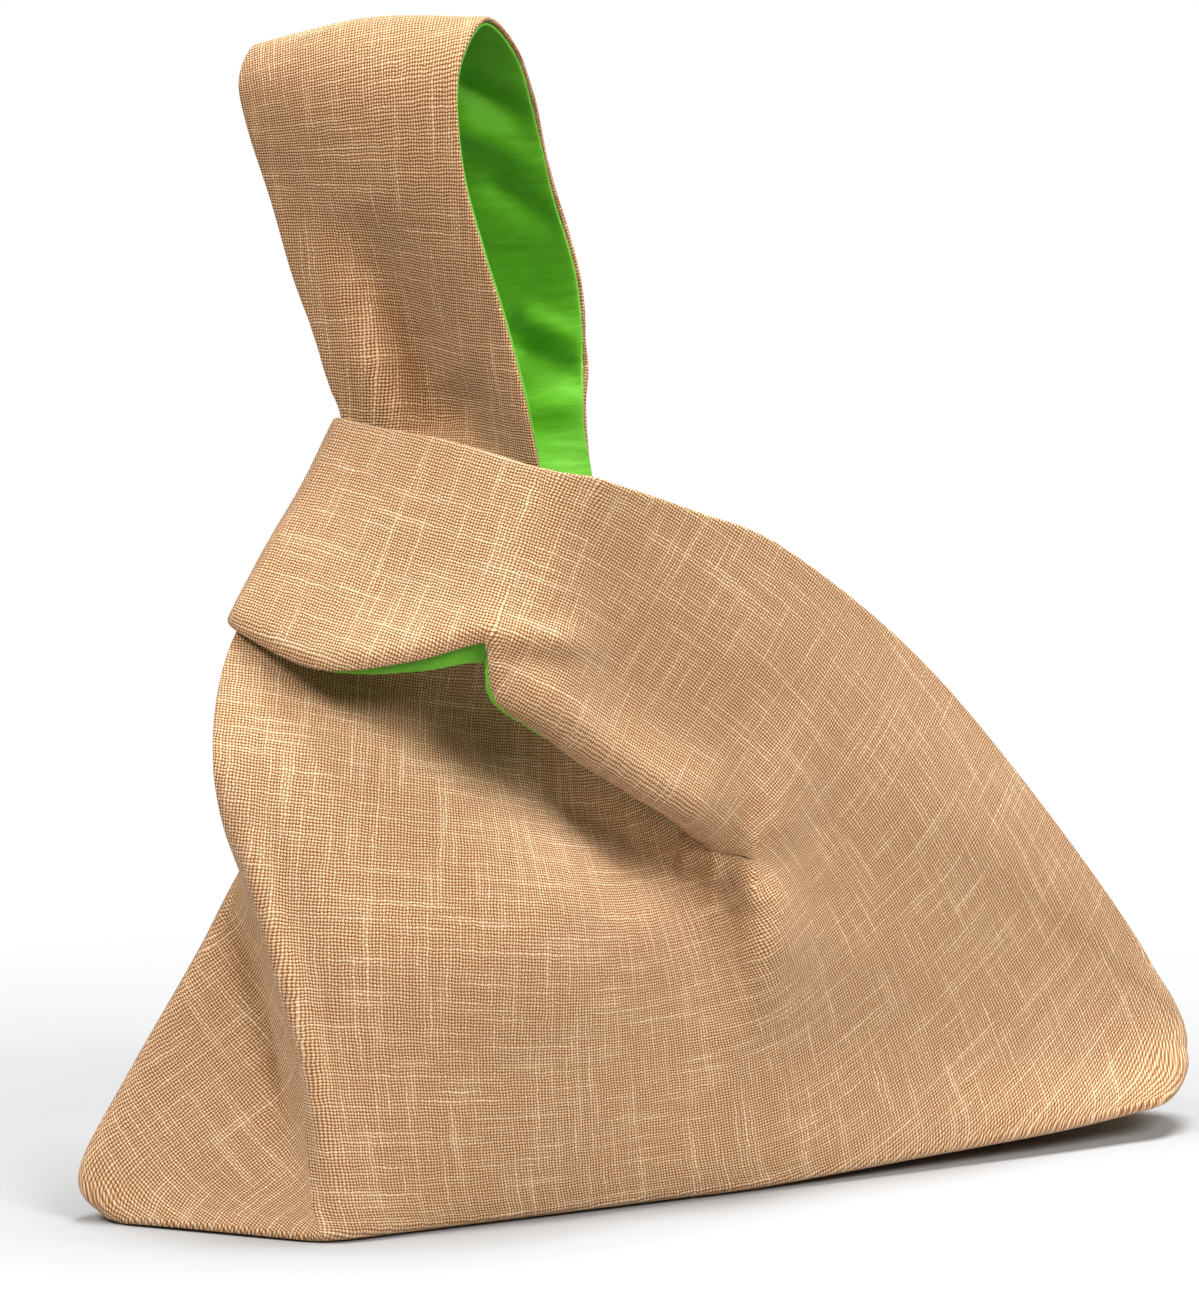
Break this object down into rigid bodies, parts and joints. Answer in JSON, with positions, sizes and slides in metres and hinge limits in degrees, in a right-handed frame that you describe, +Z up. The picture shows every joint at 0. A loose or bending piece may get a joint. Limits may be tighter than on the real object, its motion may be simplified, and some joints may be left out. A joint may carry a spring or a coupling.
{
  "type": "japanese knot bag",
  "caption": "Soft linen wrist bag with a bright lining, its long strap loop drawn up through a short strap loop that closes the mouth.",
  "frame": {"origin": "on the underside of the base, in the middle of its flat part and midway between the two panels", "axes": "+X along the base towards the drawn-in corner, +Y from the front panel to the back panel, +Z up"},
  "size_m": [0.3718, 0.123, 0.3632],
  "materials": {
    "linen": "coarse plain weave, undyed tan, matte",
    "handle_linen": "the same coarse plain weave, a little darker",
    "lining": "smooth bright green lining with a soft satin sheen"
  },
  "bodies": {
    "bag": {"outer_front_panel": "linen", "lining_front_panel": "lining", "outer_back_panel": "linen", "lining_back_panel": "lining", "outer_left_gusset": "linen", "lining_left_gusset": "lining", "outer_right_gusset": "linen", "lining_right_gusset": "lining", "outer_base": "linen", "lining_base": "lining"},
    "short_loop": {"outer_short_loop_front": "linen", "lining_short_loop_front": "lining", "outer_short_loop_back": "linen", "lining_short_loop_back": "lining"},
    "long_handle": {"outer_handle_front": "handle_linen", "lining_handle_front": "lining", "outer_handle_back": "handle_linen", "lining_handle_back": "lining"}
  },
  "joints": [
    {"name": "knot_slide", "type": "slide", "parent": "bag", "child": "short_loop", "axis": [0, 0, 1], "range_m": [0, 0.008]},
    {"name": "handle_fold", "type": "hinge", "parent": "bag", "child": "long_handle", "pos_m": [-0.04553, 0.00385, 0.252], "axis": [0.425, -0.8958, -0.13], "range_deg": [-40, 40]}
  ]
}
